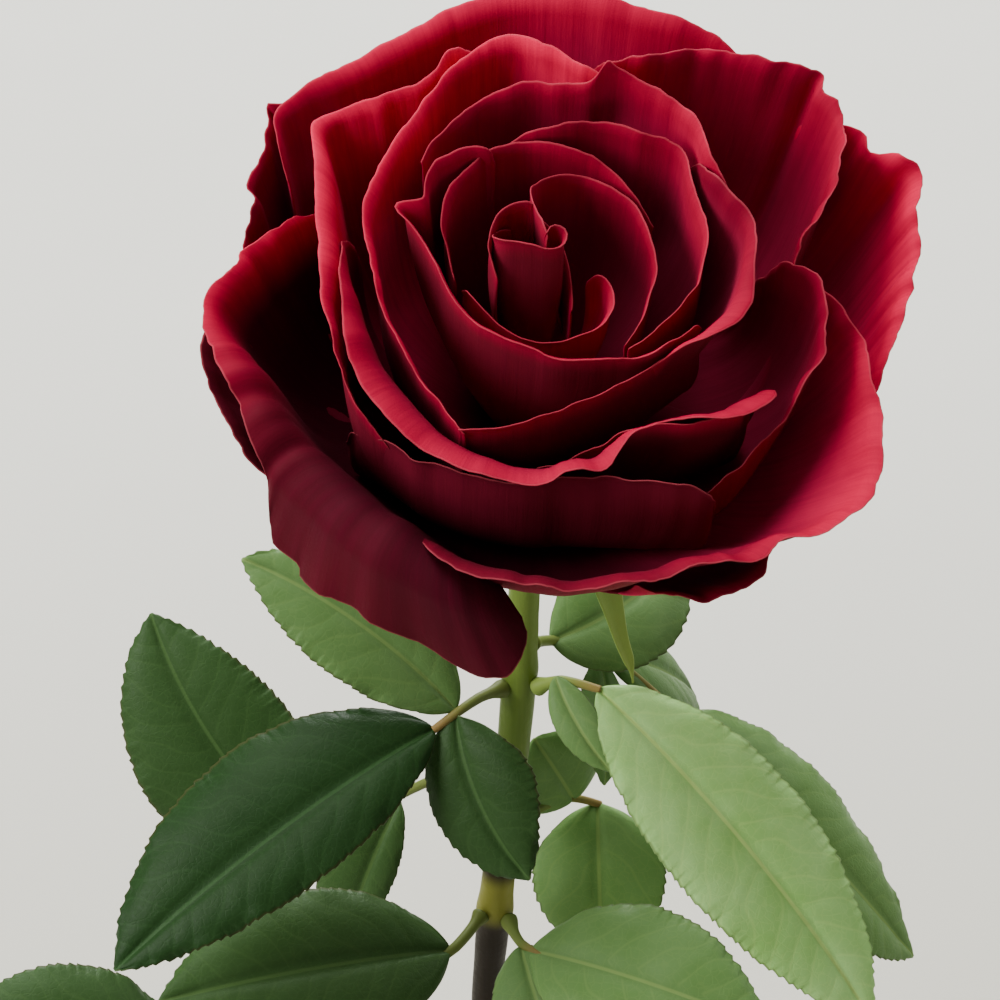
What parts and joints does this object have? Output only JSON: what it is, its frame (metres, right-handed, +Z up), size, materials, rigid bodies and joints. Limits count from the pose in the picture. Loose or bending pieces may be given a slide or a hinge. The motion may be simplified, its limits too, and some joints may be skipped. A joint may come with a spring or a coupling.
{
  "type": "rose in a bud vase",
  "caption": "Single open red rose with serrated leaves on its stem, standing in a slender flat-footed bud vase with water.",
  "frame": {"origin": "centre of the vase's flat foot, on the surface it stands on", "axes": "+Z up along the vase's axis; the bloom faces -Y; +X to the right seen from the front"},
  "size_m": [0.1907, 0.1168, 0.3727],
  "materials": {
    "glaze": "satin off-white glaze",
    "water": "clear still water",
    "stem": "smooth green bark",
    "sepal": "soft matt green",
    "petal": "velvety deep red",
    "leaf": "waxy green with pale veins"
  },
  "bodies": {
    "root": {"vase": "glaze", "water": "water", "stem": "stem", "calyx": "sepal", "bloom": "petal", "leaf_front_left": "leaf", "leaf_front_right": "leaf", "leaf_back_right": "leaf", "leaf_right": "leaf", "leaf_back_left": "leaf", "leaf_low_left": "leaf", "leaf_low_right": "leaf"}
  },
  "joints": []
}
